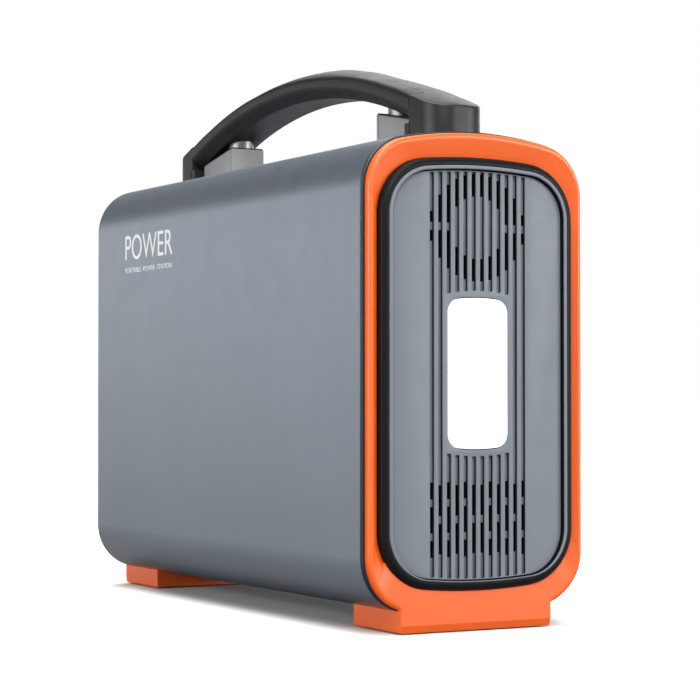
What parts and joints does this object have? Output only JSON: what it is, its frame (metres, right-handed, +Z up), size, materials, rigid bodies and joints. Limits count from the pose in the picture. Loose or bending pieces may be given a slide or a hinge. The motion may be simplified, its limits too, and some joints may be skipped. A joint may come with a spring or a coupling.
{
  "type": "portable power station",
  "caption": "Portable battery power station: upright flat tube, end frames with feet, carry handle, fan grille and lamp at the rear, sockets and display at the front.",
  "frame": {"origin": "on the floor under the middle of the station's box, between the feet", "axes": "+Z up, +Y along the tube towards the rear end with the fan grille and lamp, +X across the width, to the left of someone who faces the rear end"},
  "size_m": [0.092, 0.251, 0.213],
  "materials": {
    "painted_aluminium": "satin powder coat over extruded aluminium, cut ends bare",
    "orange_plastic": "satin moulded plastic",
    "black_trim": "satin black moulded plastic",
    "grey_plastic": "fine-textured moulded plastic",
    "opal_plastic": "opal diffuser",
    "white_plastic": "matte white",
    "circuit_board": "green solder resist",
    "led_phosphor": "LED packages",
    "black_plastic": "moulded black plastic",
    "steel": "plated steel",
    "handle_plastic": "soft-touch black plastic",
    "bracket_grey": "mid-grey moulded plastic",
    "polished_steel": "polished steel",
    "rubber": "matte rubber",
    "display_glass": "smoked glossy acrylic",
    "display_panel": "display module",
    "key_plastic": "moulded keys",
    "brass": "bare brass",
    "cell_wrap": "blue shrink wrap over a metal can",
    "holder_plastic": "moulded black plastic",
    "nickel": "nickel strip",
    "ferrite": "dark ferrite",
    "copper": "enamelled copper wire",
    "capacitor_sleeve": "printed sleeve, no text",
    "aluminium": "bare extruded aluminium"
  },
  "bodies": {
    "housing": {"ac_contacts": "brass", "ac_outlet": "black_plastic", "battery_board": "circuit_board", "battery_cells": "cell_wrap", "battery_tray": "holder_plastic", "board_standoffs": "holder_plastic", "bus_bars": "nickel", "button_switches": "black_plastic", "car_socket": "black_plastic", "car_socket_contact": "brass", "dc_input_jack": "black_plastic", "dc_output_jacks": "black_plastic", "display_lens": "display_glass", "display_module": "display_panel", "fan_frame": "black_plastic", "fan_screws": "steel", "foot_pads": "rubber", "foot_screws": "steel", "front_bezel": "orange_plastic", "front_handle_bracket": "bracket_grey", "front_handle_cap": "handle_plastic", "front_handle_post": "polished_steel", "front_panel": "grey_plastic", "front_panel_frame": "grey_plastic", "front_trim_ring": "black_trim", "handle_grip": "handle_plastic", "handle_screws": "steel", "housing_sleeve": "painted_aluminium", "inverter_board": "circuit_board", "inverter_capacitors": "capacitor_sleeve", "inverter_coil": "copper", "inverter_tray": "black_plastic", "io_board": "circuit_board", "lamp_board": "circuit_board", "lamp_leds": "led_phosphor", "lamp_lens": "opal_plastic", "lamp_reflector": "white_plastic", "left_cell_holder": "holder_plastic", "left_heat_sink": "aluminium", "rear_bezel": "orange_plastic", "rear_grille": "grey_plastic", "rear_handle_bracket": "bracket_grey", "rear_handle_cap": "handle_plastic", "rear_handle_post": "polished_steel", "rear_panel_frame": "grey_plastic", "rear_trim_ring": "black_trim", "right_cell_holder": "holder_plastic", "right_heat_sink": "aluminium", "transformer_core": "ferrite", "transformer_winding": "copper", "usb_a_sockets": "steel", "usb_c_socket": "steel"},
    "fan_wheel": {"fan_rotor": "black_plastic"},
    "dc_key": {"dc_button": "key_plastic"},
    "ac_key": {"ac_button": "key_plastic"},
    "lamp_key": {"lamp_button": "key_plastic"}
  },
  "joints": [
    {"name": "fan_spin", "type": "hinge", "parent": "housing", "child": "fan_wheel", "pos_m": [0, 0.1135, 0.143], "axis": [0, 1, 0], "continuous": true},
    {"name": "dc_press", "type": "slide", "parent": "housing", "child": "dc_key", "axis": [0, 1, 0], "range_m": [0, 0.0012], "stiffness_N_per_m": 1200},
    {"name": "ac_press", "type": "slide", "parent": "housing", "child": "ac_key", "axis": [0, 1, 0], "range_m": [0, 0.0012], "stiffness_N_per_m": 1200},
    {"name": "lamp_press", "type": "slide", "parent": "housing", "child": "lamp_key", "axis": [0, 1, 0], "range_m": [0, 0.0012], "stiffness_N_per_m": 1200}
  ]
}
